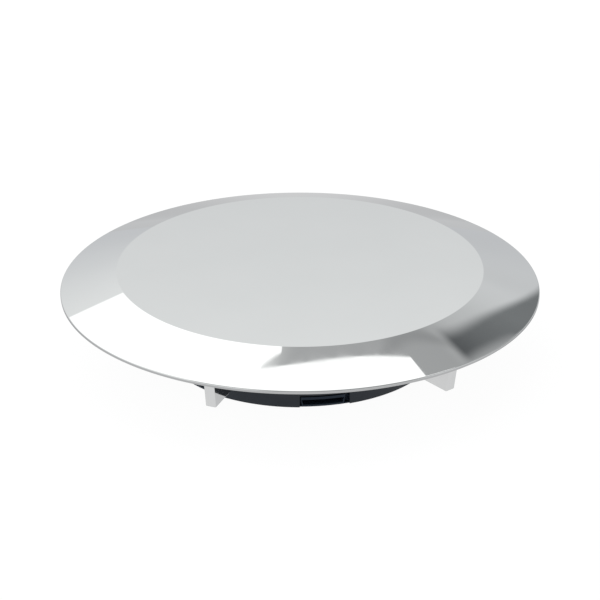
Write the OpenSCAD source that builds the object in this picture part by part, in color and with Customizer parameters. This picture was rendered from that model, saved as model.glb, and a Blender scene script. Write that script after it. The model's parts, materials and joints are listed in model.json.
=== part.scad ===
// Round ceiling air diffuser for a 100 mm duct, drawn face up.
// A removable cover stands on ribs over a duct spigot, and a screw-driven disc inside the spigot
// throttles the air. The origin is on the axis, at the spigot's lower end.

/* [Cover] */
// Radius of the cover
cover_r = 84; // [82:0.5:88]
// Radius of the cover's flat centre
flat_r = 64.3; // [64:0.1:66]
// Rise of the conical bevel from the rim to the flat centre
bevel_h = 6.2; // [6:0.1:7]
// Thickness of the cover sheet along the axis
sheet_t = 1; // [0.8:0.1:1.2]
// Height of the rim's upper edge
rim_z = 24; // [24:0.1:25]

/* [Ribs] */
// Number of ribs
rib_count = 6; // [3:3:6]
// Thickness of a rib
rib_t = 3.6; // [3:0.1:4.4]
// Height of the ceiling plane that the ribs stand on
ceiling_z = 13; // [12.8:0.1:13.2]
// How far a rib's foot stays inside the rim
foot_inset = 5.1; // [4:0.1:6]
// Lean of a rib's outer edge from upright, in degrees
edge_lean = 9; // [4:1:12]

/* [Spigot] */
// Outer radius of the spigot
spigot_r = 49.2; // [49:0.1:49.4]
// Thickness of the spigot's wall
wall_t = 2.2; // [2:0.1:2.3]
// Radius of the opening that the damper closes
port_r = 40; // [38:0.5:40]
// Number of tabs that key the bridge into the spigot
tab_count = 6; // [3:3:6]
// Width of a tab at its upper edge
tab_w = 15.4; // [12:0.1:15.8]
// Width of the cut-out around a tab
cutout_w = 17.1; // [17:0.1:19]

/* [Damper] */
// Travel of the damper disc from open to closed
travel = 8; // [6:0.5:8]
// Radius of the damper disc
disc_r = 42.5; // [42.2:0.1:43]
// Radius of the spindle's thread
thread_r = 4; // [3.6:0.1:4]
// Radius of the knob
knob_r = 11; // [9:0.5:12]

/* [Hidden] */

$fn = 96;
cut = 1;          // how far a cutting solid runs past the face that it cuts
fit_gap = 0.05;   // radial gap of a running fit
push_gap = 0.02;  // radial gap of a pushed or screwed fit

// cover
top_z = rim_z + bevel_h;
under_z = top_z - sheet_t;
bevel_slope = bevel_h / (cover_r - flat_r);
function under_cover(r) = rim_z - sheet_t + (cover_r - r) * bevel_slope;

// places around the axis: the ribs stand at multiples of 60 degrees, the rest between them
stud_angles = [30, 150, 270];
arm_angles = [90, 210, 330];
first_tab = 31.3;                // the spigot may be pushed in at any angle to the ribs
tab_lag = 0.65;                  // each tab leans this many degrees towards one side of its cut-out

// rib frame
frame_r = 63;                    // outer radius of the ring under the cover
frame_in_r = 58.6;
frame_t = 3;
stud_at = 58.8;                  // distance of a stud from the axis
boss_r = 5;
stud_r = 2;
clip_ring_in_r = 52.4;           // the ring around the spigot's collar
clip_ring_r = 55;
clip_ring_z = 16.2;
clip_ring_h = 2.8;
clip_seat_z = clip_ring_z + clip_ring_h;
foot_in_r = 57;                  // inner end of a rib's foot, clear of the flange
bond_gap = 0.05;                 // glue line between a rib and the bevel
rib_foot_r = cover_r - foot_inset;
rib_lean = tan(edge_lean);
// where the leaning outer edge meets the underside of the bevel
rib_top_z = (under_cover(rib_foot_r) + rib_lean * ceiling_z * bevel_slope)
    / (1 + rib_lean * bevel_slope) - bond_gap;
rib_top_r = rib_foot_r + rib_lean * (rib_top_z - ceiling_z);
washer_t = 0.8;
nut_h = 3.2;
nut_flats = 7;
stud_end_z = 21.6;

// retaining clips
clip_w = 7;
clip_t = 0.6;
clip_pad_w = 9.4;
clip_pad_r = 60.4;
clip_screw_at = 57.4;
clip_nose_r = 50.5;              // how far in a clip's nose reaches, under the bead

// spigot
bore_r = spigot_r - wall_t;
flange_r = 55;
flange_z = ceiling_z + 1;
flange_t = 1.6;
collar_z = 19.5;
port_t = 1.6;                    // thickness of the lip around the port
bead_r = spigot_r + 1;
groove_z = 9;
groove_h = 4.4;
groove_d = 1.2;
edge_break = 0.3;
cutout_h = 4.3;
tab_z = 0.3;
tab_h = 3.2;
tab_taper = 0.55;                // how much each side of a tab draws in towards its lower edge
tab_frame = 0.4;                 // width of the edge around a tab's pocket
tab_brow = 0.55;                 // how much wider that edge is along the top
tab_pocket = 3.6;                // depth of that pocket
web_t = 0.4;                     // thickness of the web that closes a cut-out's lower end
tab_face_r = spigot_r - 0.6;

// bridge
bridge_ring_r = bore_r - 0.1;
bridge_ring_in_r = 44.4;
bridge_z = 0;
bridge_h = 4.6;
arm_w = 5;
arm_z = 0.8;
arm_h = 3.4;
hub_r = 9;
hub_z = 1.8;
hub_top_z = 5.4;
bush_r = 5;
bush_flange_r = 7;
bush_flange_t = 0.8;
washer_z = hub_top_z + bush_flange_t;
thrust_t = 0.6;

// spindle and knob
journal_r = 3;
spindle_end_z = 0.3;
ring_z = 0.75;
ring_t = 0.5;
ring_groove_r = 2.4;
shoulder_r = 5.2;
shoulder_z = washer_z + thrust_t;
shoulder_h = 1.5;
knob_z = 21.8;
knob_h = 5.2;
knob_seat_z = 25.4;              // where the knob's screw clamps
screw_r = 1.25;

// damper, drawn open: the disc closes by rising through its travel
plate_t = 1.2;
seal_t = 1.2;
closed_gap = 0.1;                // left between the seal and the lip when closed
plate_z = collar_z - port_t - closed_gap - travel - seal_t - plate_t;
plate_top_z = plate_z + plate_t;
nut_pocket_h = 3.8;
drive_nut_h = 3.6;
drive_nut_flats = 12.8;
damper_hub_r = 10;
nut_plate_z = plate_top_z + nut_pocket_h;
nut_plate_t = 0.8;
nut_screw_at = 8.2;
nut_screw_r = 0.8;
nut_screw_head_r = 1.4;
pin_at = 24;
pin_r = 1.5;
pin_end_z = 1.4;
pin_top_z = 20.6;
guide_bush_r = 2.8;
guide_boss_r = 4.6;
guide_boss_h = 2.8;

module around(angles) {
    for (angle = angles)
        rotate([0, 0, angle])
            children();
}

module tube(outer, inner, height) {
    difference() {
        cylinder(r = outer, h = height);
        translate([0, 0, -cut])
            cylinder(r = inner, h = height + 2 * cut);
    }
}

// a hexagonal prism given by the distance across its flats
module hex(flats, height) {
    cylinder(r = flats / sqrt(3), h = height, $fn = 6);
}

// stands a radial outline up in the plane of the axis and gives it a thickness
module radial_plate(thickness) {
    rotate([90, 0, 0])
        translate([0, 0, -thickness / 2])
            linear_extrude(thickness)
                children();
}

// ---- cover assembly ----

module cover_plate() {
    color("silver")
        rotate_extrude()
            polygon([
                [0, under_z], [flat_r, under_z], [cover_r, rim_z - sheet_t], [cover_r, rim_z],
                [flat_r, top_z], [0, top_z]
            ]);
}

module insulation_pad() {
    pad_t = 2.6;
    pad_r = 57.5;
    pad_hole_r = 16;
    notch_gap = 0.6;
    color("dimgray")
        translate([0, 0, under_z - pad_t])
            difference() {
                tube(pad_r, pad_hole_r, pad_t);
                around(stud_angles)
                    translate([stud_at, 0, -cut])
                        cylinder(r = boss_r + notch_gap, h = pad_t + 2 * cut);
            }
}

module rib() {
    radial_plate(rib_t)
        polygon([
            [clip_ring_in_r + 0.4, clip_ring_z], [foot_in_r, clip_ring_z], [foot_in_r, ceiling_z],
            [rib_foot_r, ceiling_z], [rib_top_r, rib_top_z],
            [flat_r, under_z - bond_gap], [frame_in_r + 0.4, under_z - bond_gap],
            [frame_in_r + 0.4, under_z - frame_t], [clip_ring_in_r + 0.4, clip_seat_z]
        ]);
}

module rib_frame() {
    head_r = 3.4;
    head_t = 0.6;
    color("lightgray")
        difference() {
            union() {
                translate([0, 0, under_z - frame_t])
                    tube(frame_r, frame_in_r, frame_t);
                translate([0, 0, clip_ring_z])
                    tube(clip_ring_r, clip_ring_in_r, clip_ring_h);
                around([for (i = [0 : rib_count - 1]) i * 360 / rib_count])
                    rib();
                around(stud_angles)
                    translate([stud_at, 0, under_z - frame_t])
                        cylinder(r = boss_r, h = frame_t);
                around(arm_angles)
                    translate([clip_ring_in_r + 0.6, -clip_pad_w / 2, clip_ring_z])
                        cube([clip_pad_r - clip_ring_in_r - 0.6, clip_pad_w, clip_ring_h]);
            }
            around(stud_angles)
                translate([stud_at, 0, under_z - frame_t - cut]) {
                    cylinder(r = stud_r + 0.2, h = frame_t + 2 * cut);
                    translate([0, 0, frame_t + cut - head_t])
                        cylinder(r = head_r, h = head_t + cut);
                }
            around(arm_angles)
                translate([clip_screw_at, 0, clip_ring_z - cut])
                    cylinder(r = screw_r + push_gap, h = clip_ring_h + 2 * cut);
        }
}

module cover_studs() {
    weld_r = 3.2;
    weld_t = 0.5;
    color("silver")
        around(stud_angles)
            translate([stud_at, 0, 0]) {
                translate([0, 0, stud_end_z])
                    cylinder(r = stud_r, h = under_z - stud_end_z);
                translate([0, 0, under_z - weld_t])
                    cylinder(r = weld_r, h = weld_t);
            }
}

module stud_washers() {
    washer_r = 4.5;
    color("gainsboro")
        around(stud_angles)
            translate([stud_at, 0, under_z - frame_t - washer_t])
                tube(washer_r, stud_r + 0.15, washer_t);
}

module stud_nuts() {
    color("gainsboro")
        around(stud_angles)
            translate([stud_at, 0, under_z - frame_t - washer_t - nut_h])
                difference() {
                    hex(nut_flats, nut_h);
                    translate([0, 0, -cut])
                        cylinder(r = stud_r + push_gap, h = nut_h + 2 * cut);
                }
}

module retaining_clips() {
    leg_r = 51.6;
    nose_z = 17.3;
    nose_h = 1;
    screw_hole_r = 1.6;
    color("lightsteelblue")
        around(arm_angles)
            difference() {
                radial_plate(clip_w)
                    polygon([
                        [clip_pad_r, clip_seat_z + clip_t], [leg_r, clip_seat_z + clip_t],
                        [leg_r, nose_z + nose_h], [clip_nose_r, nose_z], [leg_r, nose_z - nose_h],
                        [leg_r + clip_t, nose_z - nose_h], [clip_nose_r + 0.75, nose_z],
                        [leg_r + clip_t, nose_z + nose_h], [leg_r + clip_t, clip_seat_z],
                        [clip_pad_r, clip_seat_z]
                    ]);
                translate([clip_screw_at, 0, clip_seat_z - cut])
                    cylinder(r = screw_hole_r, h = clip_t + 2 * cut);
            }
}

module clip_screws() {
    head_r = 2.8;
    head_h = 1.8;
    color("silver")
        around(arm_angles)
            translate([clip_screw_at, 0, 0])
                difference() {
                    union() {
                        translate([0, 0, clip_ring_z + 0.2])
                            cylinder(r = screw_r, h = clip_ring_h + clip_t);
                        translate([0, 0, clip_seat_z + clip_t])
                            cylinder(r = head_r, h = head_h);
                    }
                    translate([0, 0, clip_seat_z + clip_t + head_h / 2])
                        hex(2, head_h);
                }
}

// ---- spigot and what is fixed to it ----

module duct_spigot() {
    bead_h = 1.4;
    color([0.17, 0.19, 0.22])
        difference() {
            rotate_extrude()
                polygon([
                    [bore_r, 0], [spigot_r - edge_break, 0], [spigot_r, edge_break],
                    [spigot_r, groove_z], [spigot_r - groove_d, groove_z],
                    [spigot_r - groove_d, groove_z + groove_h], [spigot_r, groove_z + groove_h],
                    [spigot_r, flange_z], [flange_r, flange_z], [flange_r, flange_z + flange_t],
                    [spigot_r, flange_z + flange_t], [spigot_r, collar_z - bead_h],
                    [bead_r, collar_z - bead_h + 0.4], [bead_r, collar_z - edge_break],
                    [bead_r - edge_break, collar_z], [port_r, collar_z],
                    [port_r, collar_z - port_t], [bore_r, collar_z - port_t]
                ]);
            around([for (i = [0 : tab_count - 1]) first_tab + i * 360 / tab_count])
                translate([bore_r - cut, -cutout_w / 2, -cut])
                    cube([wall_t + 2 * cut, cutout_w, cutout_h + cut]);
        }
}

// a tab's outline, narrower at its lower edge, shrunk by an inset and by a brow along its top
module tab_outline(inset, brow) {
    half = tab_w / 2 - inset;
    high = tab_z + tab_h - inset - brow;
    polygon([
        [-half + tab_taper, tab_z + inset], [half - tab_taper, tab_z + inset],
        [half, high], [-half, high]
    ]);
}

// a tab's outline pushed out along X, from inside the bridge's ring to past the tab's face
module tab_block(inset, brow) {
    root = bridge_ring_in_r + 0.3;
    rotate([90, 0, 90])
        translate([0, 0, root])
            linear_extrude(tab_face_r - root + cut)
                tab_outline(inset, brow);
}

// a tab on its web; the face follows the spigot's curve
module tab() {
    web_w = cutout_w - 0.2;
    intersection() {
        union() {
            rotate([0, 0, -tab_lag])
                tab_block(0, 0);
            translate([bridge_ring_in_r + 0.3, -web_w / 2, 0])
                cube([spigot_r - bridge_ring_in_r, web_w, web_t]);
        }
        cylinder(r = tab_face_r, h = cutout_h);
    }
}

// the pocket that hollows a tab from outside
module tab_core() {
    rotate([0, 0, -tab_lag])
        difference() {
            tab_block(tab_frame, tab_brow);
            cylinder(r = tab_face_r - tab_pocket, h = cutout_h);
        }
}

module bridge() {
    color([0.2, 0.21, 0.23])
        difference() {
            union() {
                translate([0, 0, bridge_z])
                    tube(bridge_ring_r, bridge_ring_in_r, bridge_h);
                translate([0, 0, hub_z])
                    cylinder(r = hub_r, h = hub_top_z - hub_z);
                around(arm_angles)
                    translate([hub_r - 1.2, -arm_w / 2, arm_z])
                        cube([bridge_ring_in_r - hub_r + 2, arm_w, arm_h]);
                around([for (i = [0 : tab_count - 1]) first_tab + i * 360 / tab_count])
                    tab();
            }
            around([for (i = [0 : tab_count - 1]) first_tab + i * 360 / tab_count])
                tab_core();
            translate([0, 0, hub_z - cut])
                cylinder(r = bush_r + push_gap, h = hub_top_z - hub_z + 2 * cut);
            around(arm_angles)
                translate([pin_at, 0, pin_end_z])
                    cylinder(r = pin_r + push_gap, h = arm_h + cut);
        }
}

module lip_seal() {
    base_r = spigot_r - groove_d + fit_gap;
    face_r = spigot_r + fit_gap;
    tip_r = 50.4;
    low_z = groove_z + 0.1;
    fin_pitch = 2.1;
    color([0.12, 0.12, 0.13])
        rotate_extrude()
            polygon([
                [base_r, low_z], [face_r, low_z],
                for (i = [0 : 1]) each [
                    [tip_r, low_z + 1.4 + i * fin_pitch], [tip_r - 0.1, low_z + 1.8 + i * fin_pitch],
                    [face_r, low_z + 1.1 + i * fin_pitch], [face_r, low_z + 2.1 + i * fin_pitch]
                ],
                [base_r, low_z + 2 * fin_pitch]
            ]);
}

module ceiling_gasket() {
    color("dimgray")
        translate([0, 0, ceiling_z])
            tube(flange_r - 0.2, flange_r - 4.2, flange_z - ceiling_z);
}

module spindle_bush() {
    color("wheat")
        difference() {
            union() {
                translate([0, 0, hub_z])
                    cylinder(r = bush_r, h = hub_top_z - hub_z);
                translate([0, 0, hub_top_z])
                    cylinder(r = bush_flange_r, h = bush_flange_t);
            }
            translate([0, 0, hub_z - cut])
                cylinder(r = journal_r + fit_gap, h = washer_z - hub_z + 2 * cut);
        }
}

module thrust_washer() {
    color("gainsboro")
        translate([0, 0, washer_z])
            tube(6, journal_r + 0.1, thrust_t);
}

module wave_spring() {
    slack = 0.02;
    color("silver")
        translate([0, 0, ring_z + ring_t + slack])
            tube(5, journal_r + 0.1, hub_z - ring_z - ring_t - 2 * slack);
}

module guide_pins() {
    color("silver")
        around(arm_angles)
            translate([pin_at, 0, pin_end_z])
                cylinder(r = pin_r, h = pin_top_z - pin_end_z);
}

// ---- damper ----

module damper_plate() {
    stiffener_h = 0.8;
    color("darkgray")
        difference() {
            union() {
                translate([0, 0, plate_z])
                    cylinder(r = disc_r, h = plate_t);
                translate([0, 0, plate_z - stiffener_h])
                    tube(disc_r - 2, disc_r - 3.5, stiffener_h + plate_t / 2);
                translate([0, 0, plate_z])
                    cylinder(r = damper_hub_r, h = nut_plate_z - plate_z);
                around(arm_angles)
                    translate([pin_at, 0, plate_z])
                        cylinder(r = guide_boss_r, h = plate_t + guide_boss_h);
            }
            translate([0, 0, plate_z - cut])
                cylinder(r = shoulder_r + 0.3, h = plate_t + 2 * cut);
            translate([0, 0, plate_top_z])
                hex(drive_nut_flats + 0.1, nut_pocket_h + cut);
            around(stud_angles)
                translate([nut_screw_at, 0, plate_top_z + 0.6])
                    cylinder(r = nut_screw_r + push_gap, h = nut_pocket_h + cut);
            around(arm_angles)
                translate([pin_at, 0, plate_z - cut])
                    cylinder(r = guide_bush_r + push_gap, h = plate_t + guide_boss_h + 2 * cut);
        }
}

module damper_seal() {
    color([0.15, 0.15, 0.16])
        translate([0, 0, plate_top_z])
            tube(disc_r - 0.2, port_r - 2, seal_t);
}

module drive_nut() {
    color("goldenrod")
        translate([0, 0, plate_top_z])
            difference() {
                hex(drive_nut_flats, drive_nut_h);
                translate([0, 0, -cut])
                    cylinder(r = thread_r + fit_gap, h = drive_nut_h + 2 * cut);
            }
}

module nut_plate() {
    color("silver")
        translate([0, 0, nut_plate_z])
            difference() {
                tube(damper_hub_r, thread_r + 1, nut_plate_t);
                around(stud_angles)
                    translate([nut_screw_at, 0, 0]) {
                        translate([0, 0, -cut])
                            cylinder(r = nut_screw_r + 0.1, h = nut_plate_t + 2 * cut);
                        cylinder(r1 = nut_screw_r + 0.1, r2 = nut_screw_head_r + 0.1, h = nut_plate_t);
                    }
            }
}

module nut_plate_screws() {
    screw_len = 3.8;
    color("gainsboro")
        around(stud_angles)
            translate([nut_screw_at, 0, 0]) {
                translate([0, 0, nut_plate_z + nut_plate_t - screw_len])
                    cylinder(r = nut_screw_r, h = screw_len - 0.1);
                translate([0, 0, nut_plate_z + 0.1])
                    cylinder(r1 = nut_screw_r, r2 = nut_screw_head_r, h = nut_plate_t - 0.1);
            }
}

module guide_bushes() {
    bush_low = 0.4;
    flange_h = 0.8;
    boss_top_z = plate_top_z + guide_boss_h;
    color("white")
        around(arm_angles)
            translate([pin_at, 0, 0])
                difference() {
                    union() {
                        translate([0, 0, plate_z - bush_low])
                            cylinder(r = guide_bush_r, h = boss_top_z - plate_z + bush_low);
                        translate([0, 0, boss_top_z])
                            cylinder(r = guide_bush_r + 1.2, h = flange_h);
                    }
                    translate([0, 0, plate_z - cut])
                        cylinder(r = pin_r + fit_gap, h = boss_top_z + flange_h - plate_z + 2 * cut);
                }
}

// ---- spindle ----

module spindle() {
    color("silver")
        difference() {
            union() {
                translate([0, 0, spindle_end_z])
                    cylinder(r = ring_groove_r, h = ring_z + ring_t);
                translate([0, 0, spindle_end_z])
                    cylinder(r = journal_r, h = ring_z - spindle_end_z);
                translate([0, 0, ring_z + ring_t])
                    cylinder(r = journal_r, h = knob_seat_z - ring_z - ring_t);
                translate([0, 0, shoulder_z])
                    cylinder(r = shoulder_r, h = shoulder_h);
                translate([0, 0, shoulder_z])
                    cylinder(r = thread_r, h = knob_z - shoulder_z);
            }
            translate([0, 0, knob_z])
                cylinder(r = screw_r + push_gap, h = knob_seat_z);
        }
}

module knob() {
    scallops = 12;
    scallop_r = 1.5;
    recess_r = 3.6;
    color([0.15, 0.16, 0.18])
        difference() {
            translate([0, 0, knob_z])
                cylinder(r = knob_r, h = knob_h);
            translate([0, 0, knob_z - cut])
                cylinder(r = journal_r + push_gap, h = knob_h + 2 * cut);
            translate([0, 0, knob_seat_z])
                cylinder(r = recess_r, h = knob_h);
            around([for (i = [0 : scallops - 1]) i * 360 / scallops])
                translate([knob_r + 0.6, 0, knob_z - cut])
                    cylinder(r = scallop_r, h = knob_h + 2 * cut);
        }
}

module knob_screw() {
    head_r = 3.3;
    head_h = 1.4;
    color("gainsboro")
        difference() {
            union() {
                translate([0, 0, knob_z])
                    cylinder(r = screw_r, h = knob_seat_z - knob_z);
                translate([0, 0, knob_seat_z])
                    cylinder(r = head_r, h = head_h);
            }
            translate([0, 0, knob_seat_z + head_h / 2])
                hex(2.5, head_h);
        }
}

module retaining_ring() {
    ring_r = 5.2;
    mouth = 3.4;
    color("silver")
        translate([0, 0, ring_z])
            difference() {
                tube(ring_r, ring_groove_r + push_gap, ring_t);
                translate([0, -mouth / 2, -cut])
                    cube([ring_r + cut, mouth, ring_t + 2 * cut]);
            }
}

cover_plate();
insulation_pad();
rib_frame();
cover_studs();
stud_washers();
stud_nuts();
retaining_clips();
clip_screws();
duct_spigot();
bridge();
lip_seal();
ceiling_gasket();
spindle_bush();
thrust_washer();
wave_spring();
guide_pins();
damper_plate();
damper_seal();
drive_nut();
nut_plate();
nut_plate_screws();
guide_bushes();
spindle();
knob();
knob_screw();
retaining_ring();
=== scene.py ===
"""Looks of a round ceiling air diffuser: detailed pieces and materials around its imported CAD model."""
import json
import math

import bmesh
import bpy
from mathutils import Matrix, Vector


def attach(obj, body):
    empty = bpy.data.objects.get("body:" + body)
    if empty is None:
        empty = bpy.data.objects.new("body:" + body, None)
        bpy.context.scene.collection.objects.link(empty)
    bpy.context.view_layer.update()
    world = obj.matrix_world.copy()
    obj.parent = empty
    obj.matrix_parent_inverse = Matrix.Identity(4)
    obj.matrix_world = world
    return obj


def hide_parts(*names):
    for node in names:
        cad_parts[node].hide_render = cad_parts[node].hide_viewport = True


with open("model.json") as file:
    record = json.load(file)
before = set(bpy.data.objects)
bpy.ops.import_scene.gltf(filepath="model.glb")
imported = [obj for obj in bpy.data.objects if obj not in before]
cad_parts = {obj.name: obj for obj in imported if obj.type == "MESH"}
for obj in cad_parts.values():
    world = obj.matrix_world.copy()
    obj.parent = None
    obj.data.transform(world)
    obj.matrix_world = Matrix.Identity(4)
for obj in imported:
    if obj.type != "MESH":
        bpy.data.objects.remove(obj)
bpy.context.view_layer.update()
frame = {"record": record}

MM = 0.001
RECORD = frame["record"]
SLOT_OF = {part["node"]: part["material_slot"] for part in RECORD["subparts"]}
BODY_OF = {node: body for body, nodes in RECORD["behaviour"]["bodies"].items() for node in nodes}

# places around the axis, in degrees
RIB_ANGLES = [0, 60, 120, 180, 240, 300]
STUD_ANGLES = [30, 150, 270]
ARM_ANGLES = [90, 210, 330]
CUTOUT_ANGLES = [31.3, 91.3, 151.3, 211.3, 271.3, 331.3]
TAB_LAG = 0.65                # each tab leans this many degrees towards one side of its cut-out

# distances from the axis, in millimetres
COVER_R = 84
FLAT_R = 64.3                 # where the cover's flat centre meets its bevel
STUD_AT = 58.8
CLIP_SCREW_AT = 57.4
SPIGOT_R = 49.2
BORE_R = 47
TAB_FACE_R = 48.6
RING_R = 46.9                 # the outside of the bridge's ring
RING_IN_R = 44.4
PIN_AT = 24
NUT_SCREW_AT = 8.2

# heights above the spigot's lower end, in millimetres
TAB_BOTTOM = 0.3
TAB_TOP = 3.5
CUTOUT_TOP = 4.3
CEILING = 13
DISC_TOP = 8.6
DISC_HUB_TOP = 12.4           # the nut plate lies on it
NUT_PLATE_TOP = 13.2
KNOB_UNDER = 21.8
KNOB_SEAT = 25.4
STUD_WASHER_UNDER = 25.4
BOSS_UNDER = 26.2             # the underside of the rib frame's upper ring and of its bosses
COVER_UNDER = 29.2
COVER_TOP = 30.2


# ---- solids, all drawn in millimetres ----

def rounded(outline, radius=0.2, steps=4):
    """A closed outline with its corners rounded. A point may bring its own radius as a third number."""
    points = []
    count = len(outline)
    for i, corner in enumerate(outline):
        here = Vector(corner[:2])
        size = corner[2] if len(corner) > 2 else radius
        before = Vector(outline[i - 1][:2]) - here
        after = Vector(outline[(i + 1) % count][:2]) - here
        half = before.angle(after) / 2
        if size <= 0 or half > math.radians(89):
            points.append(tuple(here))
            continue
        reach = min(size / math.tan(half), 0.48 * before.length, 0.48 * after.length)
        start = here + before.normalized() * reach
        end = here + after.normalized() * reach
        middle = here + (before.normalized() + after.normalized()).normalized() * reach / math.cos(half)
        sweep = (start - middle).angle_signed(end - middle)
        for step in range(steps + 1):
            spoke = (start - middle).copy()
            spoke.rotate(Matrix.Rotation(-sweep * step / steps, 2))
            points.append(tuple(middle + spoke))
    return points


def circle(radius, count, at=(0, 0)):
    turns = [math.tau * i / count for i in range(count)]
    return [(at[0] + radius * math.cos(a), at[1] + radius * math.sin(a)) for a in turns]


def hexagon(flats):
    return circle(flats / math.sqrt(3), 6)


def oblong(near, far, half):
    """A rectangle that reaches along +X, as far to one side as to the other."""
    return [(near, -half), (far, -half), (far, half), (near, half)]


def lathe(outline, segments):
    """A solid of revolution about Z from a closed outline of (radius, height) points."""
    bm = bmesh.new()
    rings = []
    for radius, height in outline:
        if radius < 1e-6:
            rings.append([bm.verts.new((0, 0, height))] * segments)
            continue
        rings.append([bm.verts.new((x, y, height)) for x, y in circle(radius, segments)])
    for ring, following in zip(rings, rings[1:] + rings[:1]):
        for i in range(segments):
            j = (i + 1) % segments
            corners = list(dict.fromkeys([ring[i], ring[j], following[j], following[i]]))
            if len(corners) > 2:
                bm.faces.new(corners)
    bmesh.ops.recalc_face_normals(bm, faces=bm.faces)
    return bm


def soften(bm, width, steps=2, angle=40):
    """Rounds every edge whose faces meet at more than the angle."""
    limit = math.radians(angle)
    edges = [edge for edge in bm.edges if edge.is_manifold and edge.calc_face_angle(0) > limit]
    bmesh.ops.bevel(bm, geom=edges, offset=width, offset_type="OFFSET", segments=steps,
                    profile=0.5, affect="EDGES", clamp_overlap=True)
    return bm


def prism(outline, low, high, bevel=0.0, steps=2):
    """An outline in X and Y, stood up from one height to another."""
    bm = bmesh.new()
    floor = [bm.verts.new((x, y, low)) for x, y in outline]
    roof = [bm.verts.new((x, y, high)) for x, y in outline]
    bm.faces.new(floor[::-1])
    bm.faces.new(roof)
    for i in range(len(outline)):
        j = (i + 1) % len(outline)
        bm.faces.new((floor[i], floor[j], roof[j], roof[i]))
    bmesh.ops.recalc_face_normals(bm, faces=bm.faces)
    return soften(bm, bevel, steps) if bevel else bm


def moved(bm, matrix):
    bmesh.ops.transform(bm, matrix=matrix, verts=bm.verts)
    return bm


def shifted(bm, along):
    """A solid moved out along +X."""
    return moved(bm, Matrix.Translation((along, 0, 0)))


def radial_plate(outline, thickness, bevel):
    """An outline of (radius, height) points in the plane of the axis and +X, with a thickness."""
    bm = prism(outline, -thickness / 2, thickness / 2, bevel)
    return moved(bm, Matrix.Rotation(math.radians(90), 4, "X"))


def outward_block(outline, near, far):
    """An outline of (sideways, height) points, pushed out along +X."""
    bm = prism(outline, near, far)
    return moved(bm, Matrix(((0, 0, 1, 0), (1, 0, 0, 0), (0, 1, 0, 0), (0, 0, 0, 1))))


def joined(parts):
    """Several solids as one mesh, each keeping its own surface."""
    whole = bmesh.new()
    for part in parts:
        mesh = bpy.data.meshes.new("part")
        part.to_mesh(mesh)
        part.free()
        whole.from_mesh(mesh)
        bpy.data.meshes.remove(mesh)
    return whole


def turned(bm, angle):
    return moved(bm, Matrix.Rotation(math.radians(angle), 4, "Z"))


def around(make, angles):
    """One solid repeated at angles about Z."""
    return joined([turned(make(), angle) for angle in angles])


def plain_object(bm):
    mesh = bpy.data.meshes.new("operand")
    bm.to_mesh(mesh)
    bm.free()
    obj = bpy.data.objects.new("operand", mesh)
    bpy.context.scene.collection.objects.link(obj)
    return obj


def combine(first, second, operation):
    """The union, difference or common part of two solids."""
    operands = [plain_object(first), plain_object(second)]
    modifier = operands[0].modifiers.new("combine", "BOOLEAN")
    modifier.operation = operation
    modifier.solver = "EXACT"
    modifier.object = operands[1]
    graph = bpy.context.evaluated_depsgraph_get()
    mesh = bpy.data.meshes.new_from_object(operands[0].evaluated_get(graph))
    result = bmesh.new()
    result.from_mesh(mesh)
    bpy.data.meshes.remove(mesh)
    for operand in operands:
        bpy.data.meshes.remove(operand.data)
    bmesh.ops.remove_doubles(result, verts=result.verts, dist=1e-4)
    bmesh.ops.dissolve_degenerate(result, edges=result.edges, dist=1e-4)
    return result


def fused(*parts):
    whole = parts[0]
    for part in parts[1:]:
        whole = combine(whole, part, "UNION")
    return whole


def cut(body, *tools):
    for tool in tools:
        body = combine(body, tool, "DIFFERENCE")
    return body


def drill(radius, low, high, at, segments=32):
    """A round cutting tool at a distance from the axis along +X."""
    return prism(circle(radius, segments, (at, 0)), low, high)


def washer(outer, inner, low, high, edge=0.1, segments=64):
    outline = [(inner, low), (outer, low), (outer, high), (inner, high)]
    return lathe(rounded(outline, edge, 3), segments)


def rod(radius, low, high, edge=0.2, segments=48):
    outline = [(0, low, 0), (radius, low), (radius, high), (0, high, 0)]
    return lathe(rounded(outline, edge, 3), segments)


def thread(radius, root, lead, low, high, starts=1, segments=40):
    """A right-handed screw thread as a rod whose radius follows the helix."""
    bm = bmesh.new()
    pitch = lead / starts
    rows = max(2, int((high - low) / (pitch / 8)))
    rings = []
    for row in range(rows + 1):
        height = low + (high - low) * row / rows
        ring = []
        for i in range(segments):
            turn = i / segments
            phase = (height / pitch - turn * starts) % 1.0
            # a flat crest between two straight flanks
            crest = min(max(2.2 - abs(phase - 0.5) * 6.4, 0), 1)
            taper = min(1, (height - low) / (pitch / 2) + 0.2, (high - height) / (pitch / 2) + 0.2)
            size = root + (radius - root) * crest * taper
            ring.append(bm.verts.new((size * math.cos(math.tau * turn),
                                      size * math.sin(math.tau * turn), height)))
        rings.append(ring)
    for ring, following in zip(rings, rings[1:]):
        for i in range(segments):
            j = (i + 1) % segments
            bm.faces.new((ring[i], ring[j], following[j], following[i]))
    bm.faces.new(rings[0][::-1])
    bm.faces.new(rings[-1])
    bmesh.ops.recalc_face_normals(bm, faces=bm.faces)
    return bm


def piece(name, node, bm, sharp=38):
    """A finished piece in metres that stands for a CAD node, on the node's body and in its slot."""
    bmesh.ops.scale(bm, vec=(MM, MM, MM), verts=bm.verts)
    mesh = bpy.data.meshes.new(name)
    bm.to_mesh(mesh)
    bm.free()
    mesh.shade_smooth()
    mesh.set_sharp_from_angle(angle=math.radians(sharp))
    mesh.materials.append(MATERIALS[SLOT_OF[node]])
    obj = bpy.data.objects.new(name, mesh)
    bpy.context.scene.collection.objects.link(obj)
    normals = obj.modifiers.new("weighted_normals", "WEIGHTED_NORMAL")
    normals.keep_sharp = True
    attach(obj, BODY_OF[node])
    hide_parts(node)
    return obj


# ---- node graphs ----

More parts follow.
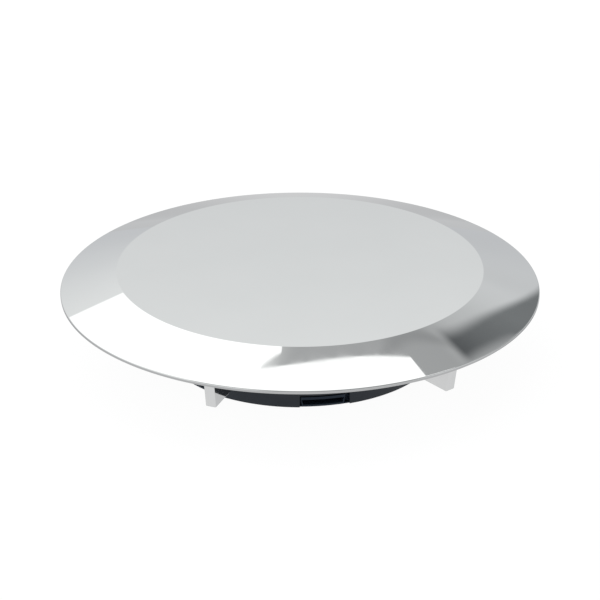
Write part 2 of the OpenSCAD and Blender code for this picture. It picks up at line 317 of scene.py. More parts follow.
class Graph:
    """Short calls that add and join the nodes of one material or world."""

    def __init__(self, tree):
        self.tree = tree

    def new(self, kind, **settings):
        node = self.tree.nodes.new("ShaderNode" + kind)
        for key, value in settings.items():
            setattr(node, key, value)
        return node

    def feed(self, socket, value):
        if isinstance(value, bpy.types.NodeSocket):
            self.tree.links.new(value, socket)
        else:
            socket.default_value = value

    def math(self, operation, first, second=0.0):
        node = self.new("Math", operation=operation)
        for socket, value in zip(node.inputs, (first, second)):
            self.feed(socket, value)
        return node.outputs[0]

    def dot(self, vector, axis):
        node = self.new("VectorMath", operation="DOT_PRODUCT")
        self.feed(node.inputs[0], vector)
        self.feed(node.inputs[1], axis)
        return node.outputs["Value"]

    def span(self, value, low, high, to_low=0.0, to_high=1.0, smooth=False):
        node = self.new("MapRange", interpolation_type="SMOOTHSTEP" if smooth else "LINEAR")
        for socket, number in zip(node.inputs, (value, low, high, to_low, to_high)):
            self.feed(socket, number)
        return node.outputs[0]

    def ramp(self, factor, stops):
        node = self.new("ValToRGB")
        elements = node.color_ramp.elements
        while len(elements) < len(stops):
            elements.new(0.5)
        for element, (place, colour) in zip(elements, stops):
            element.position = place
            element.color = (*colour, 1)
        self.feed(node.inputs[0], factor)
        return node.outputs[0]

    def mix(self, factor, first, second):
        node = self.new("Mix", data_type="RGBA")
        self.feed(node.inputs[0], factor)
        self.feed(node.inputs[6], first)
        self.feed(node.inputs[7], second)
        return node.outputs[2]

    def noise(self, scale, detail, stretch=(1, 1, 1), rough=0.5):
        place = self.new("Mapping")
        self.feed(place.inputs["Vector"], self.new("TexCoord").outputs["Object"])
        place.inputs["Scale"].default_value = stretch
        node = self.new("TexNoise")
        self.feed(node.inputs["Vector"], place.outputs[0])
        node.inputs["Scale"].default_value = scale
        node.inputs["Detail"].default_value = detail
        node.inputs["Roughness"].default_value = rough
        return node.outputs["Fac"]

    def pores(self, scale):
        node = self.new("TexVoronoi", feature="F1")
        self.feed(node.inputs["Vector"], self.new("TexCoord").outputs["Object"])
        node.inputs["Scale"].default_value = scale
        return node.outputs["Distance"]

    def turning(self, scale):
        """Fine rings about the axis, as a lathe leaves them."""
        node = self.new("TexWave", wave_type="RINGS", rings_direction="Z")
        self.feed(node.inputs["Vector"], self.new("TexCoord").outputs["Object"])
        node.inputs["Scale"].default_value = scale
        node.inputs["Distortion"].default_value = 0.4
        node.inputs["Detail"].default_value = 2
        return node.outputs["Fac"]


def surface(name, metallic=0.0, **sockets):
    """A material with a plain principled shader, and the graph to add to it."""
    material = bpy.data.materials.new(name)
    material.use_nodes = True
    shader = material.node_tree.nodes["Principled BSDF"]
    shader.inputs["Metallic"].default_value = metallic
    for key, value in sockets.items():
        shader.inputs[key.replace("_", " ")].default_value = value
    return material, shader, Graph(material.node_tree)


def relief(graph, shader, height, strength, depth):
    """Bump from a height, depth being in metres."""
    node = graph.new("Bump")
    node.inputs["Strength"].default_value = strength
    node.inputs["Distance"].default_value = depth
    graph.feed(node.inputs["Height"], height)
    graph.feed(shader.inputs["Normal"], node.outputs[0])


def tone(graph, shader, factor, dark, light):
    graph.feed(shader.inputs["Base Color"], graph.ramp(factor, [(0.3, dark), (0.7, light)]))


def gloss(graph, shader, factor, low, high):
    graph.feed(shader.inputs["Roughness"], graph.span(factor, 0.3, 0.7, low, high))


# ---- materials, one function each ----

CHROME_EDGE = (0.6, 0.605, 0.615, 1)          # the chrome's tint where it is seen edge-on
CHROME_UPRIGHT_SHADE = (0.42, 0.425, 0.43, 1)       # painted shade: a darker chrome tint for upright faces such as the cover's rim, standing in for their dimmer reflection


def polished_chrome():
    material, shader, g = surface("polished_chrome", 1.0, Specular_Tint=CHROME_EDGE)
    plated = g.ramp(g.noise(40, 2), [(0.3, (0.546, 0.553, 0.55)), (0.7, (0.554, 0.56, 0.557))])
    levelness = g.math("ABSOLUTE", g.dot(g.new("TexCoord").outputs["Normal"], (0, 0, 1)))
    # painted shade: faces that stand upright take the darker tint in place of a dimmer reflection
    upright_shade = g.math("SUBTRACT", 1.0, g.span(levelness, 0.15, 0.6, smooth=True))
    g.feed(shader.inputs["Base Color"], g.mix(upright_shade, plated, CHROME_UPRIGHT_SHADE))
    gloss(g, shader, g.noise(160, 4), 0.012, 0.03)
    relief(g, shader, g.noise(70, 1), 0.05, 0.00001)
    return material


def cast_chrome():
    material, shader, g = surface("cast_chrome", 1.0, Specular_Tint=CHROME_EDGE)
    tone(g, shader, g.noise(120, 3), (0.595, 0.6, 0.603), (0.62, 0.625, 0.627))
    gloss(g, shader, g.noise(500, 4), 0.03, 0.07)
    relief(g, shader, g.noise(140, 2), 0.06, 0.00002)
    return material


def black_gloss_plastic():
    material, shader, g = surface("black_gloss_plastic", IOR=1.5, Specular_IOR_Level=0.3)
    tone(g, shader, g.noise(300, 3), (0.005, 0.009, 0.015), (0.008, 0.012, 0.019))
    gloss(g, shader, g.noise(260, 4), 0.10, 0.2)
    relief(g, shader, g.noise(900, 2), 0.1, 0.00003)
    return material


def black_satin_plastic():
    material, shader, g = surface("black_satin_plastic", IOR=1.5, Specular_IOR_Level=0.12)
    tone(g, shader, g.noise(350, 3), (0.011, 0.018, 0.029), (0.015, 0.023, 0.036))
    gloss(g, shader, g.noise(800, 4), 0.3, 0.42)
    relief(g, shader, g.noise(3600, 3, rough=0.65), 0.35, 0.00004)
    return material


def grey_plastic():
    material, shader, g = surface("grey_plastic", IOR=1.49)
    tone(g, shader, g.noise(60, 5, (1, 1, 3)), (0.17, 0.175, 0.185), (0.21, 0.215, 0.222))
    gloss(g, shader, g.noise(700, 4), 0.34, 0.48)
    relief(g, shader, g.noise(3000, 3, rough=0.65), 0.3, 0.00004)
    return material


def white_plastic():
    material, shader, g = surface("white_plastic", IOR=1.48, Subsurface_Weight=0.1, Subsurface_Scale=0.001)
    tone(g, shader, g.noise(250, 4), (0.72, 0.71, 0.66), (0.8, 0.79, 0.75))
    gloss(g, shader, g.noise(900, 4), 0.28, 0.42)
    relief(g, shader, g.noise(2400, 2), 0.2, 0.00003)
    return material


def black_rubber():
    material, shader, g = surface("black_rubber", IOR=1.52)
    dust = g.noise(180, 6, rough=0.7)
    tone(g, shader, dust, (0.016, 0.016, 0.017), (0.034, 0.033, 0.033))
    gloss(g, shader, dust, 0.5, 0.72)
    relief(g, shader, g.noise(5200, 3, rough=0.7), 0.5, 0.00005)
    return material


def grey_foam():
    material, shader, g = surface("grey_foam", IOR=1.4)
    cells = g.pores(1500)
    tone(g, shader, cells, (0.035, 0.036, 0.038), (0.11, 0.112, 0.116))
    gloss(g, shader, g.noise(600, 3), 0.82, 0.95)
    relief(g, shader, cells, 0.8, 0.0003)
    return material


def zinc_steel():
    material, shader, g = surface("zinc_steel", 1.0)
    tone(g, shader, g.noise(380, 5, rough=0.6), (0.52, 0.54, 0.58), (0.68, 0.67, 0.62))
    gloss(g, shader, g.noise(1200, 4), 0.2, 0.38)
    relief(g, shader, g.noise(2600, 3), 0.15, 0.00002)
    return material


def spring_steel():
    material, shader, g = surface("spring_steel", 1.0)
    grain = g.noise(300, 3, (1, 1, 24))
    tone(g, shader, grain, (0.34, 0.35, 0.38), (0.45, 0.46, 0.49))
    gloss(g, shader, grain, 0.22, 0.36)
    relief(g, shader, grain, 0.15, 0.00002)
    return material


def turned_steel():
    material, shader, g = surface("turned_steel", 1.0)
    tone(g, shader, g.noise(300, 3), (0.5, 0.5, 0.5), (0.6, 0.6, 0.59))
    gloss(g, shader, g.noise(900, 3), 0.16, 0.3)
    relief(g, shader, g.turning(1400), 0.2, 0.00002)
    return material


def brass():
    material, shader, g = surface("brass", 1.0)
    tone(g, shader, g.noise(240, 4), (0.66, 0.44, 0.17), (0.78, 0.57, 0.26))
    gloss(g, shader, g.noise(800, 3), 0.2, 0.34)
    relief(g, shader, g.turning(1100), 0.25, 0.00002)
    return material


MATERIALS = {make.__name__: make() for make in (
    polished_chrome, cast_chrome, black_gloss_plastic, black_satin_plastic, grey_plastic,
    white_plastic, black_rubber, grey_foam, zinc_steel, spring_steel, turned_steel, brass)}


# ---- cover assembly ----

def cover_shell():
    outline = [(0, COVER_UNDER, 0), (FLAT_R, COVER_UNDER, 0.8), (COVER_R - 0.15, 23, 0.2), (COVER_R, 23, 0.1),
               (COVER_R, 24, 0.5), (FLAT_R, COVER_TOP, 0.9), (0, COVER_TOP, 0)]
    piece("cover_shell", "cover_plate", lathe(rounded(outline, steps=6), 720), 50)


def foam_pad():
    ring = washer(57.5, 16, 26.6, COVER_UNDER, 0.35, 160)
    notches = around(lambda: drill(5.6, 26, 30, STUD_AT, 48), STUD_ANGLES)
    piece("foam_pad", "insulation_pad", soften(cut(ring, notches), 0.2, 2, 60))


def rib():
    outline = [(52.8, 16.2, 0), (57, 16.2, 0.5), (57, CEILING, 0.4), (78.9, CEILING, 0.35), (80.64, 24, 0.3),
               (FLAT_R, 29.15, 0), (59, 29.15, 0), (59, BOSS_UNDER, 0.4), (52.8, 19, 0)]
    return radial_plate(rounded(outline, steps=3), 3.6, 0.28)


def clip_pad():
    outline = [(53, -4.7, 0), (60.4, -4.7, 0.8), (60.4, 4.7, 0.8), (53, 4.7, 0)]
    return prism(rounded(outline, steps=4), 16.2, 19, 0.2)


def rib_casting():
    ring = washer(63, 58.6, BOSS_UNDER, COVER_UNDER, 0.25, 192)
    clip_ring = washer(55, 52.4, 16.2, 19, 0.25, 192)
    bosses = around(lambda: shifted(rod(5, BOSS_UNDER, COVER_UNDER, 0.2), STUD_AT), STUD_ANGLES)
    frame_solid = fused(ring, bosses, clip_ring, around(clip_pad, ARM_ANGLES), around(rib, RIB_ANGLES))
    holes = around(lambda: drill(2.2, 26, 30, STUD_AT), STUD_ANGLES)
    sinks = around(lambda: drill(3.4, 28.6, 30, STUD_AT), STUD_ANGLES)
    taps = around(lambda: drill(1.27, 16, 20, CLIP_SCREW_AT), ARM_ANGLES)
    piece("rib_casting", "rib_frame", cut(frame_solid, holes, sinks, taps), 32)


def weld_studs():
    def stud():
        weld_flange = rod(3.2, 28.7, COVER_UNDER, 0.15)
        return shifted(joined([thread(2, 1.68, 0.7, 21.6, 28.4), weld_flange, rod(1.9, 28.3, 28.9)]), STUD_AT)
    piece("weld_studs", "cover_studs", around(stud, STUD_ANGLES))


def flat_washers():
    washers = around(lambda: shifted(washer(4.5, 2.15, STUD_WASHER_UNDER, BOSS_UNDER), STUD_AT), STUD_ANGLES)
    piece("flat_washers", "stud_washers", washers)


def chamfered_hex(flats, low, high, bore):
    """A hexagon nut blank whose corners are turned off at both ends."""
    corner = flats / math.sqrt(3)
    face = flats / 2 * 0.98
    drop = (corner - face) * 0.5
    barrel = lathe([(0, low), (face, low), (corner + 0.05, low + drop),
                    (corner + 0.05, high - drop), (face, high), (0, high)], 96)
    blank = combine(prism(hexagon(flats), low, high), barrel, "INTERSECT")
    mouth = [(0, low - 1), (bore + 0.3, low - 1), (bore + 0.3, low), (bore, low + 0.3),
             (bore, high - 0.3), (bore + 0.3, high), (bore + 0.3, high + 1), (0, high + 1)]
    return soften(cut(blank, lathe(mouth, 48)), 0.06, 1, 35)


def hex_nuts():
    def nut():
        blank = chamfered_hex(7, 22.2, STUD_WASHER_UNDER, 2.02)
        return shifted(moved(blank, Matrix.Rotation(0.3, 4, "Z")), STUD_AT)
    piece("hex_nuts", "stud_nuts", around(nut, STUD_ANGLES), 25)


def strip(path, thickness, bend, width, bevel):
    """A bent strip: a path of (radius, height) points given a thickness and a width."""
    path = [Vector(point) for point in path]
    sides = ([], [])
    for i, point in enumerate(path):
        before = (point - path[i - 1]).normalized() if i else None
        after = (path[i + 1] - point).normalized() if i + 1 < len(path) else None
        first, second = before or after, after or before
        miter = Vector((-(first.y + second.y), first.x + second.x)).normalized()
        reach = thickness / 2 / max(0.3, miter.dot(Vector((-first.y, first.x))))
        for side, sign in zip(sides, (1, -1)):
            inner = bend if 0 < i < len(path) - 1 else 0.1
            side.append((*(point + miter * reach * sign), inner))
    return radial_plate(rounded(sides[0] + sides[1][::-1], steps=4), width, bevel)


def spring_clips():
    path = [(60.4, 19.3), (51.9, 19.3), (51.9, 18.3), (50.85, 17.3), (51.9, 16.25)]
    tool = around(lambda: drill(1.6, 18.8, 20, CLIP_SCREW_AT), ARM_ANGLES)
    clips = around(lambda: strip(path, 0.6, 0.5, 7, 0.12), ARM_ANGLES)
    piece("spring_clips", "retaining_clips", cut(clips, tool))


def socket_screw(radius, head, low, seat, top, flats, at):
    """A button-headed screw with a hexagon socket."""
    middle = (seat + top) / 2
    dome = [(0, seat, 0), (head, seat, 0.1), (head, middle, 0.5), (head * 0.7, top, 0.6), (0, top, 0)]
    cap = lathe(rounded(dome, steps=5), 64)
    cap = cut(cap, prism(hexagon(flats), middle, top + 1))
    shank = thread(radius, radius * 0.82, 0.45, low, seat + 0.1, 1, 32)
    return shifted(joined([soften(cap, 0.06, 1, 50), shank]), at)


def pad_screws():
    def screw():
        return socket_screw(1.25, 2.8, 16.4, 19.6, 21.4, 2, CLIP_SCREW_AT)
    piece("pad_screws", "clip_screws", around(screw, ARM_ANGLES))


# ---- spigot and what is fixed to it ----

def spigot_ring():
    outline = [(BORE_R, 0, 0.3), (SPIGOT_R, 0, 0.12), (SPIGOT_R, 9, 0.15), (48, 9, 0.15), (48, 13.4, 0.15),
               (SPIGOT_R, 13.4, 0.15), (SPIGOT_R, 14, 0.1), (55, 14, 0.25), (55, 15.6, 0.3),
               (SPIGOT_R, 15.6, 0.4), (SPIGOT_R, 18.1, 0.1), (50.2, 18.5, 0.2), (50.2, 19.5, 0.35),
               (40, 19.5, 0.35), (40, 17.9, 0.3), (BORE_R, 17.9, 0.5)]
    ring = lathe(rounded(outline, steps=3), 240)
    side = 8.55
    window = [(-side, -1, 0), (side, -1, 0), (side, CUTOUT_TOP, 0.3), (-side, CUTOUT_TOP, 0.3)]
    window = rounded(window, steps=3)
    openings = around(lambda: outward_block(window, BORE_R - 1, SPIGOT_R + 1.8), CUTOUT_ANGLES)
    piece("spigot_ring", "duct_spigot", soften(cut(ring, openings), 0.05, 2, 55))


def tab_outline(inset, brow):
    """A tab's outline as (sideways, height) points, wider along the top, shrunk by an inset and a brow."""
    half, top, taper = 7.7 - inset, TAB_TOP - inset - brow, 0.55
    low = TAB_BOTTOM + inset
    return rounded([(taper - half, low), (half - taper, low), (half, top), (-half, top)], 0.2, 3)


def tab_pocket():
    """The hollow of a tab, which runs in behind it into the bridge's ring."""
    return outward_block(tab_outline(0.4, 0.55), 45, 51)


def trimmed(bm, radius):
    """The part of a low solid that lies within a radius."""
    return combine(bm, prism(circle(radius, 240), -1, 6), "INTERSECT")


def tab():
    """A hollow tab that faces outwards, and the web that closes the lower end of its cut-out."""
    block = turned(cut(outward_block(tab_outline(0, 0), 46.6, 50), tab_pocket()), -TAB_LAG)
    shell = soften(trimmed(block, TAB_FACE_R), 0.07, 2, 50)
    side, low, high = 8.5, 0.01, 0.4
    web = outward_block([(-side, low), (side, low), (side, high), (-side, high)], 46.5, 50)
    return joined([shell, trimmed(web, TAB_FACE_R - 0.02)])


def bridge_arm():
    beam = prism(oblong(7.8, RING_IN_R + 1, 2.5), 0.8, 4.2, 0.35, 3)
    channels = [prism(rounded(oblong(near, far, 1.3), 0.8), 3.2, 5) for near, far in ((11, 21.2), (26.8, 42))]
    return cut(beam, *channels)


def bridge_frame():
    ring = washer(RING_R, RING_IN_R, 0, 4.6, 0.2, 192)
    hollows = around(tab_pocket, [angle - TAB_LAG for angle in CUTOUT_ANGLES])
    hub = rod(9, 1.8, 5.4, 0.4, 96)
    body = fused(cut(ring, hollows), hub, around(bridge_arm, ARM_ANGLES))
    pins = around(lambda: drill(1.52, 1.4, 6, PIN_AT), ARM_ANGLES)
    moulding = cut(body, prism(circle(5.02, 64), 1, 6), pins)
    piece("bridge_frame", "bridge", joined([moulding, around(tab, CUTOUT_ANGLES)]), 30)


def duct_seal():
    outline = [(48.05, 9.1, 0.1), (49.25, 9.1, 0.1)]
    for low in (9.1, 11.2):
        outline += [(50.3, low + 1.3, 0.12), (50.4, low + 1.75, 0.12), (49.25, low + 0.95, 0.15),
                    (49.25, low + 2.1, 0)]
    outline += [(48.05, 13.3, 0.1)]
    piece("duct_seal", "lip_seal", lathe(rounded(outline, steps=3), 240), 50)


def foam_ring():
    piece("foam_ring", "ceiling_gasket", washer(54.8, 50.8, CEILING, 14, 0.3, 192))


def flanged_bush():
    outline = [(3.05, 1.8), (5, 1.8, 0.25), (5, 5.4, 0.1), (7, 5.4, 0.15), (7, 6.2, 0.25), (3.05, 6.2, 0.3)]
    piece("flanged_bush", "spindle_bush", lathe(rounded(outline, 0.25, 3), 96))


def shoulder_washer():
    piece("shoulder_washer", "thrust_washer", washer(6, 3.1, 6.2, 6.8, 0.12, 96))


def wavy_washer():
    bm = washer(5, 3.1, 1.42, 1.63, 0.06, 144)
    for vert in bm.verts:
        vert.co.z += 0.14 * math.sin(3 * math.atan2(vert.co.y, vert.co.x))
    piece("wavy_washer", "wave_spring", bm, 50)


def dowel_pins():
    pins = around(lambda: shifted(rod(1.5, 1.4, 20.6, 0.35), PIN_AT), ARM_ANGLES)
    piece("dowel_pins", "guide_pins", pins, 50)


# ---- damper ----

def disc_rib():
    return prism(oblong(13, 39.4, 0.6), 6.75, 7.6, 0.2)


def damper_disc():
    outline = [(5.5, 7.4, 0.2), (39, 7.4, 0.2), (39, 6.6, 0.2), (40.5, 6.6, 0.2), (40.5, 7.4, 0.2),
               (42.5, 7.4, 0.4), (42.5, DISC_TOP, 0.3), (10, DISC_TOP, 0.5), (10, DISC_HUB_TOP, 0.3),
               (5.5, DISC_HUB_TOP, 0)]
    disc = lathe(rounded(outline, steps=4), 192)
    bosses = around(lambda: shifted(rod(4.6, 7.5, 11.4, 0.3, 64), PIN_AT), ARM_ANGLES)
    body = fused(disc, bosses, around(disc_rib, RIB_ANGLES))
    pocket = prism(hexagon(12.9), DISC_TOP, 14)
    bores = around(lambda: drill(2.82, 6, 13, PIN_AT, 48), ARM_ANGLES)
    taps = around(lambda: drill(0.82, 9.2, 14, NUT_SCREW_AT, 24), STUD_ANGLES)
    piece("damper_disc", "damper_plate", soften(cut(body, pocket, bores, taps), 0.1, 1, 60), 30)


def disc_seal():
    piece("disc_seal", "damper_seal", washer(42.3, 38, DISC_TOP, 9.8, 0.35, 192))


def brass_nut():
    piece("brass_nut", "drive_nut", chamfered_hex(12.8, DISC_TOP, 12.2, 4.05), 25)


def cover_ring():
    ring = washer(10, 5, DISC_HUB_TOP, NUT_PLATE_TOP, 0.15, 96)
    sink = [(0, 12), (0.9, 12), (0.9, DISC_HUB_TOP), (1.5, NUT_PLATE_TOP), (1.5, 14), (0, 14)]
    sinks = around(lambda: shifted(lathe(sink, 32), NUT_SCREW_AT), STUD_ANGLES)
    piece("cover_ring", "nut_plate", cut(ring, sinks))


def cover_ring_screws():
    def screw():
        head = lathe([(0, 12.5), (0.8, 12.5), (1.4, 13.12), (1.38, NUT_PLATE_TOP), (0, NUT_PLATE_TOP)], 40)
        slots = [turned(prism(oblong(-0.75, 0.75, 0.16), 12.9, 14), angle) for angle in (0, 90)]
        return shifted(joined([cut(head, *slots), thread(0.8, 0.62, 0.35, 9.4, 12.6, 1, 24)]), NUT_SCREW_AT)
    piece("cover_ring_screws", "nut_plate_screws", around(screw, STUD_ANGLES))


def pin_bushes():
    outline = [(1.55, 7), (2.8, 7, 0.2), (2.8, 11.4, 0.08), (4, 11.4, 0.1), (4, 12.2, 0.25), (1.55, 12.2)]
    def bush():
        return shifted(lathe(rounded(outline, 0.2, 3), 64), PIN_AT)
    piece("pin_bushes", "guide_bushes", around(bush, ARM_ANGLES))


# ---- spindle ----

def spindle_rod():
    lower = [(0, 0.3, 0), (3, 0.3, 0.15), (3, 0.75, 0.05), (2.4, 0.75, 0.05), (2.4, 1.25, 0.05),
             (3, 1.25, 0.05), (3, 6.8, 0.1), (5.2, 6.8, 0.1), (5.2, 8.3, 0.35), (3.3, 8.3, 0.2), (3.3, 9, 0),
             (0, 9, 0)]
    upper = [(0, 21, 0), (3.3, 21, 0), (3.3, KNOB_UNDER, 0.2), (3, KNOB_UNDER, 0.05), (3, KNOB_SEAT, 0.3),
             (0, KNOB_SEAT, 0)]
    screw = thread(4, 3.3, 4, 8.6, 21.6, 2, 64)
    parts = [lathe(rounded(lower, steps=3), 96), screw, lathe(rounded(upper, steps=3), 96)]
    piece("spindle_rod", "spindle", joined(parts), 40)


def hand_knob():
    outline = [(3.02, KNOB_UNDER, 0.15), (11, KNOB_UNDER, 0.5), (11, 27, 0.9), (8, 27, 0.3), (7.4, 26.5, 0.5),
               (4.6, 26.5, 0.3), (4.2, 27, 0.3), (3.6, 27, 0.15), (3.6, KNOB_SEAT, 0), (3.02, KNOB_SEAT, 0.1)]
    body = lathe(rounded(outline, steps=5), 144)
    scallops = around(lambda: drill(1.5, 20, 29, 11.6, 40), [30 * i for i in range(12)])
    mark = prism(rounded(oblong(5, 7.2, 0.35), 0.3, 3), 26.2, 28)
    piece("hand_knob", "knob", soften(cut(body, scallops, mark), 0.22, 2, 45), 32)


def head_screw():
    piece("head_screw", "knob_screw", socket_screw(1.25, 3.3, 21.9, KNOB_SEAT, 26.8, 2.5, 0))


def e_ring():
    """A snap ring whose three prongs grip the groove, open towards +X."""
    outside, half_mouth = 5.2, 1.7
    outer, inner = [], []
    start = math.degrees(math.asin(half_mouth / outside))
    for i in range(73):
        angle = start + (360 - 2 * start) * i / 72
        outer.append((outside * math.cos(math.radians(angle)), outside * math.sin(math.radians(angle))))
    start = math.degrees(math.asin(half_mouth / 3.4))
    for i in range(97):
        angle = start + (360 - 2 * start) * i / 96
        grip = max(0.0, *(1 - abs(angle - prong) / 24 for prong in (78, 180, 282)))
        size = 3.5 - 1.08 * min(1.0, grip * 2.2)
        inner.append((size * math.cos(math.radians(angle)), size * math.sin(math.radians(angle))))
    piece("e_ring", "retaining_ring", prism(outer + inner[::-1], 0.75, 1.25, 0.05, 1), 50)


for make_piece in (cover_shell, foam_pad, rib_casting, weld_studs, flat_washers, hex_nuts, spring_clips,
                   pad_screws, spigot_ring, bridge_frame, duct_seal, foam_ring, flanged_bush,
                   shoulder_washer, wavy_washer, dowel_pins, damper_disc, disc_seal, brass_nut, cover_ring,
                   cover_ring_screws, pin_bushes, spindle_rod, hand_knob, head_screw, e_ring):
    make_piece()


# ---- studio ----

VIEW_AZIMUTH = math.radians(-8.6)
VIEW_ELEVATION = math.radians(24.4)
VIEW_DISTANCE = 0.756
VIEW_CENTRE = Vector((0, 0, 0.024))


def studio_floor():
    """A pale light table, wide enough to fill every view."""
    bm = prism(oblong(-9, 9, 9), -0.02, 0.0)
    mesh = bpy.data.meshes.new("studio_floor")
    bm.to_mesh(mesh)
    bm.free()
    floor = bpy.data.objects.new("studio_floor", mesh)
    bpy.context.scene.collection.objects.link(floor)
    material, shader, g = surface("light_table", Roughness=1.0, Specular_IOR_Level=0.0)
    shader.inputs["Emission Color"].default_value = (1, 1, 1, 1)
    tone(g, shader, g.noise(3, 2), (0.06, 0.06, 0.06), (0.065, 0.065, 0.065))
    distance = g.new("VectorMath", operation="LENGTH")
    g.feed(distance.inputs[0], g.new("TexCoord").outputs["Object"])
    # painted shade: the table glows less round the object in the middle and a little more away from it
    g.feed(shader.inputs["Emission Strength"], g.span(distance.outputs["Value"], 0.22, 0.55, 0.955, 1.16))
    mesh.materials.append(material)


def studio_camera():
    """Long lens, looking 24.4 degrees down, turned 8.6 degrees from the middle of a rib gap."""
    back = Vector((math.sin(VIEW_AZIMUTH) * math.cos(VIEW_ELEVATION),
                   -math.cos(VIEW_AZIMUTH) * math.cos(VIEW_ELEVATION), math.sin(VIEW_ELEVATION)))
    data = bpy.data.cameras.new("camera")
    data.lens = 128.82
    data.sensor_width = 36
    data.shift_y = -0.03005
    data.clip_start = 0.01
    data.clip_end = 100
    camera = bpy.data.objects.new("camera", data)
    bpy.context.scene.collection.objects.link(camera)
    camera.location = VIEW_CENTRE + back * VIEW_DISTANCE
    camera.rotation_euler = back.to_track_quat("Z", "Y").to_euler()
    bpy.context.scene.camera = camera


WORLD_STRENGTH = 2.0      # the world's colours are radiance divided by this
COS_45 = math.sqrt(0.5)


def sky_ramp(graph, height, stops, tint_low, tint_high):
    """Grey by elevation in degrees, from (elevation, radiance) stops. The tint changes up to 40 degrees."""
    elevation = graph.math("MULTIPLY", graph.math("ARCSINE", height), 180 / math.pi)
    factor = graph.span(elevation, -10, 90)
    colours = []
    for place, value in stops:
        share = min(1, max(0, place / 40))
        tint = [low + (high - low) * share for low, high in zip(tint_low, tint_high)]
        colours.append(((place + 10) / 100, tuple(value / WORLD_STRENGTH * t for t in tint)))
    return graph.ramp(factor, colours)


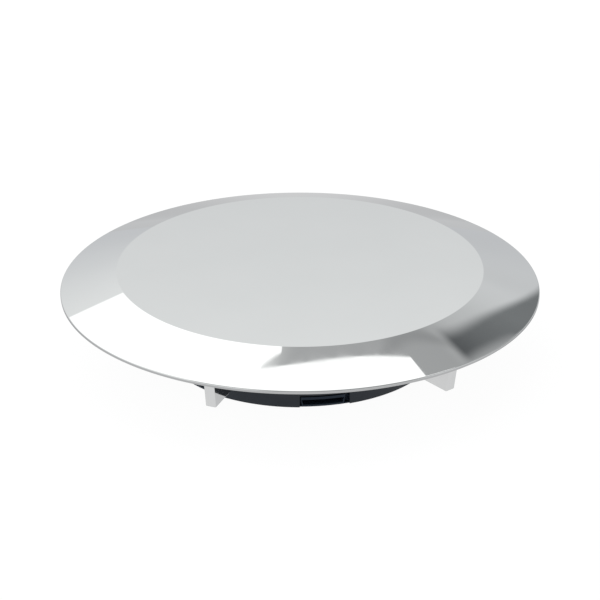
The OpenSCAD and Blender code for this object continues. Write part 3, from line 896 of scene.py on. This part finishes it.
def studio_world():
    """A soft studio: pale walls, a large softbox overhead, flags, a dark panel and a grey curtain."""
    world = bpy.data.worlds.new("studio")
    world.use_nodes = True
    bpy.context.scene.world = world
    g = Graph(world.node_tree)
    away = (-math.sin(VIEW_AZIMUTH), math.cos(VIEW_AZIMUTH))
    direction = g.new("TexCoord").outputs["Generated"]
    right = g.dot(direction, (away[1], -away[0], 0))
    depth = g.dot(direction, (*away, 0))
    height = g.dot(direction, (0, 0, 1))
    # a flat map of the sky in front, centred 45 degrees up
    forward = g.dot(direction, (away[0] * COS_45, away[1] * COS_45, COS_45))
    reach = g.math("MAXIMUM", forward, 0.05)
    east = g.math("DIVIDE", right, reach)
    north = g.math("DIVIDE", g.dot(direction, (-away[0] * COS_45, -away[1] * COS_45, COS_45)), reach)

    def past(across, up, normal_x, normal_y, blur):
        """1 on the side of a straight edge that its normal points to."""
        level = g.math("ADD", g.math("MULTIPLY", east, normal_x), g.math("MULTIPLY", north, normal_y))
        edge = across * normal_x + up * normal_y
        return g.span(level, edge - blur, edge + blur, smooth=True)

    def outside(across, up, half_width, half_height, blur):
        """1 outside an ellipse."""
        x = g.math("DIVIDE", g.math("SUBTRACT", east, across), half_width)
        y = g.math("DIVIDE", g.math("SUBTRACT", north, up), half_height)
        size = g.math("SQRT", g.math("ADD", g.math("MULTIPLY", x, x), g.math("MULTIPLY", y, y)))
        return g.span(size, 1 - blur, 1 + blur, smooth=True)

    def both(*masks):
        result = masks[0]
        for mask in masks[1:]:
            result = g.math("MULTIPLY", result, mask)
        return result

    def either(first, second):
        return g.math("MAXIMUM", first, second)

    def inverse(mask):
        return g.math("SUBTRACT", 1.0, mask)

    cool, warm = (0.985, 0.995, 1.012), (0.988, 1.0, 0.993)
    left_wall = sky_ramp(g, height, [(-10, 1.16), (0, 1.285), (8, 1.34), (16, 1.36), (27, 1.4), (45, 1.33),
                                     (70, 1.2), (90, 1.15)], cool, warm)
    right_wall = sky_ramp(g, height, [(-10, 1.17), (0, 1.24), (12, 1.2), (24, 1.14), (30, 1.05), (36, 0.92),
                                      (42, 0.83), (48, 0.62), (58, 0.64), (64, 0.68), (72, 0.95), (90, 1.15)],
                          cool, (0.985, 1.0, 1.01))
    ahead = g.span(forward, 0.1, 0.2, smooth=True)
    lift = g.math("MULTIPLY", g.math("MAXIMUM", north, 0.0), 0.9)
    rightward = both(ahead, g.span(g.math("ADD", east, lift), 0.12, 0.26, smooth=True))
    sky = g.mix(rightward, left_wall, right_wall)

    # the far wall is a little darker low down, straight ahead and to the right
    low_wall = both(ahead, past(0, -0.46, 0, 1, 0.2), inverse(past(0, -0.38, 0, 1, 0.08)),
                    past(-0.24, 0, 1, 0, 0.14))
    sky = g.mix(g.math("MULTIPLY", low_wall, 0.1), sky, (0.1, 0.1, 0.1, 1))

    # soft darker band that leads to the dark panel
    band = g.math("ABSOLUTE", g.math("ADD", g.math("MULTIPLY", east, 0.781),
                                     g.math("ADD", g.math("MULTIPLY", north, 0.624), -0.299)))
    shade = both(ahead, inverse(g.span(band, 0.0, 0.009, smooth=True)), past(0, 0.07, 0, 1, 0.02))
    sky = g.mix(g.math("MULTIPLY", shade, 0.45), sky, (0.18, 0.183, 0.187, 1))

    # softbox overhead, with a round-topped flag in front of it
    softbox = both(ahead, past(-0.4, -0.258, 0, 1, 0.004), inverse(past(0, 0.62, 0, 1, 0.08)),
                   past(-1.3, 0, 1, 0, 0.1),
                   either(past(0.2546, 0.1863, -0.526, 0.851, 0.0016), inverse(past(0, 0, 1, 0, 0.05))))
    beside_flag = both(inverse(past(-0.06, 0.287, -0.045, 1, 0.0004)), inverse(past(-0.0475, 0, 1, 0, 0.001)))
    clear = either(outside(-0.01, -0.56, 0.526, 0.857, 0.0006), beside_flag)
    sky = g.mix(both(softbox, clear), sky, (1.0, 1.0, 1.0, 1))

    # dark panel on the right, and the grey strip under it
    panel = both(ahead, past(0.27, 0, 1, 0, 0.02), past(0.3314, 0.0714, 0.75, -0.66, 0.018),
                 outside(0.25, -0.38, 0.1532, 0.5025, 0.027), past(0, -0.6, 0, 1, 0.05))
    grey = g.ramp(g.span(north, -0.2, 0.08), [(0.0, (0.158, 0.166, 0.17)), (0.6, (0.12, 0.126, 0.13)),
                                              (1.0, (0.072, 0.076, 0.08))])
    strip_grey = both(outside(-0.08, -0.34, 0.504, 0.749, 0.009), past(0, -0.13, 0, 1, 0.02))
    sky = g.mix(panel, sky, g.mix(strip_grey, grey, (0.3, 0.305, 0.31, 1)))

    # behind the camera: a grey curtain above eye level, reaching round to the right
    turn = g.math("ARCTAN2", right, g.math("MULTIPLY", depth, -1.0))
    curtain = both(g.span(turn, -0.5, -0.2, smooth=True), inverse(g.span(turn, 0.9, 1.2, smooth=True)),
                   g.span(height, 0.15, 0.3, smooth=True), inverse(g.span(height, 0.78, 0.88, smooth=True)))
    sky = g.mix(curtain, sky, (0.22, 0.222, 0.226, 1))
    backdrop = world.node_tree.nodes["Background"]
    g.feed(backdrop.inputs["Color"], sky)
    backdrop.inputs["Strength"].default_value = WORLD_STRENGTH


studio_floor()
studio_camera()
studio_world()
bpy.context.scene.view_settings.view_transform = "Standard"
